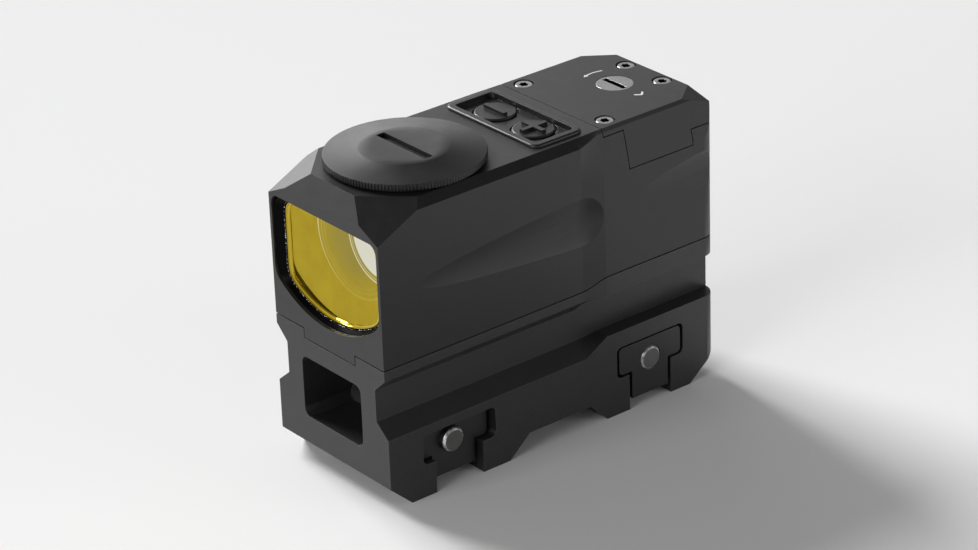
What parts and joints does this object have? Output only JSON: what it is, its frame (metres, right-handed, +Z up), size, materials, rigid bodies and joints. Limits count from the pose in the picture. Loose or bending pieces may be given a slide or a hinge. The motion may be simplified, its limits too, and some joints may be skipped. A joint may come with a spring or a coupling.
{
  "type": "enclosed reflex red dot sight",
  "caption": "Enclosed reflex sight with coated front window, coin-cell cap, two-key pad and adjusters, on a tall open riser that clamps to an accessory rail.",
  "frame": {"origin": "point on the centre line of the flat rail seat under the riser, 41.1 mm behind the front face", "axes": "+Z up, optical axis along Y with the objective window at -Y and the eye at +Y, +X is the side with the clamp claws"},
  "size_m": [0.0347, 0.0837, 0.0642],
  "materials": {
    "black_anodised": "matte bead-blasted black anodising on aluminium",
    "black_frame": "glossy black",
    "coated_glass": "polished, amber reflective coating",
    "clear_glass": "polished, coated",
    "key_rubber": "smooth satin",
    "seal_rubber": "matte",
    "screw_steel": "turned, satin",
    "dark_steel": "black oxide, satin",
    "cell_steel": "nickel plated",
    "contact_brass": "gold plated",
    "tray_plastic": "moulded",
    "board_green": "solder mask",
    "led_red": "clear epoxy"
  },
  "bodies": {
    "housing": {"housing_shell": "black_anodised", "rear_cover": "black_anodised", "cover_screws": "screw_steel", "objective_lens": "coated_glass", "objective_retainer": "black_frame", "objective_seal": "seal_rubber", "rear_window": "clear_glass", "rear_window_seal": "seal_rubber", "rear_window_frame": "black_frame", "battery_tray": "tray_plastic", "battery_contact": "contact_brass", "battery": "cell_steel", "keypad_bezel": "key_rubber", "circuit_board": "board_green", "dome_switches": "screw_steel", "riser_base": "black_anodised", "base_screws": "dark_steel", "clamp_washers": "dark_steel"},
    "cap_contact": {"cap_contact": "contact_brass"},
    "battery_cap": {"battery_cap": "black_anodised", "cap_seal": "seal_rubber"},
    "minus_button": {"minus_button": "key_rubber"},
    "plus_button": {"plus_button": "key_rubber"},
    "elevation_screw": {"elevation_screw": "screw_steel", "elevation_clip": "dark_steel", "elevation_seal": "seal_rubber"},
    "windage_screw": {"windage_screw": "screw_steel", "windage_clip": "dark_steel", "windage_seal": "seal_rubber"},
    "elevation_nut": {"elevation_nut": "contact_brass"},
    "windage_nut": {"windage_nut": "contact_brass"},
    "emitter_carriage": {"emitter_carriage": "black_anodised", "emitter_board": "board_green", "led_emitter": "led_red"},
    "front_clamp_bolt": {"front_clamp_bolt": "screw_steel"},
    "rear_clamp_bolt": {"rear_clamp_bolt": "screw_steel"},
    "front_claw": {"front_claw": "black_anodised"},
    "rear_claw": {"rear_claw": "black_anodised"}
  },
  "joints": [
    {"name": "cap_advance", "type": "slide", "parent": "housing", "child": "cap_contact", "axis": [0, 0, 1], "range_m": [0, 0.003]},
    {"name": "cap_turn", "type": "hinge", "parent": "cap_contact", "child": "battery_cap", "pos_m": [0, -0.0211, 0.053], "axis": [0, 0, 1], "range_deg": [0, 1440]},
    {"name": "minus_press", "type": "slide", "parent": "housing", "child": "minus_button", "axis": [0, 0, -1], "range_m": [0, 0.00055], "stiffness_N_per_m": 900},
    {"name": "plus_press", "type": "slide", "parent": "housing", "child": "plus_button", "axis": [0, 0, -1], "range_m": [0, 0.00055], "stiffness_N_per_m": 900},
    {"name": "elevation_turn", "type": "hinge", "parent": "housing", "child": "elevation_screw", "pos_m": [0, 0.0313, 0.0524], "axis": [0, 0, 1], "range_deg": [-360, 360]},
    {"name": "elevation_travel", "type": "slide", "parent": "housing", "child": "elevation_nut", "axis": [0, 0, 1], "range_m": [-0.00045, 0.00045]},
    {"name": "windage_turn", "type": "hinge", "parent": "housing", "child": "windage_screw", "pos_m": [-0.0164, 0.0313, 0.0446], "axis": [-1, 0, 0], "range_deg": [-360, 360]},
    {"name": "windage_travel", "type": "slide", "parent": "housing", "child": "windage_nut", "axis": [1, 0, 0], "range_m": [-0.00045, 0.00045]},
    {"name": "emitter_shift", "type": "slide", "parent": "elevation_nut", "child": "emitter_carriage", "axis": [1, 0, 0], "range_m": [-0.00045, 0.00045]},
    {"name": "front_bolt_turn", "type": "hinge", "parent": "housing", "child": "front_clamp_bolt", "pos_m": [-0.017, -0.0254, 0.0006], "axis": [-1, 0, 0], "range_deg": [0, 1080]},
    {"name": "front_claw_slide", "type": "slide", "parent": "housing", "child": "front_claw", "axis": [1, 0, 0], "range_m": [0, 0.0024]},
    {"name": "rear_bolt_turn", "type": "hinge", "parent": "housing", "child": "rear_clamp_bolt", "pos_m": [-0.017, 0.02465, 0.0006], "axis": [-1, 0, 0], "range_deg": [-720, 360]},
    {"name": "rear_claw_slide", "type": "slide", "parent": "housing", "child": "rear_claw", "axis": [1, 0, 0], "range_m": [-0.0016, 0.0008]}
  ],
  "couplings": [
    {"joint": "cap_advance", "follows": "cap_turn", "m_per_rad": 0.00011937},
    {"joint": "elevation_turn", "follows": "elevation_travel", "rad_per_m": 13963},
    {"joint": "windage_turn", "follows": "windage_travel", "rad_per_m": 13963},
    {"joint": "emitter_shift", "follows": "windage_travel", "ratio": 1},
    {"joint": "front_bolt_turn", "follows": "front_claw_slide", "rad_per_m": 7854},
    {"joint": "rear_bolt_turn", "follows": "rear_claw_slide", "rad_per_m": 7854}
  ]
}
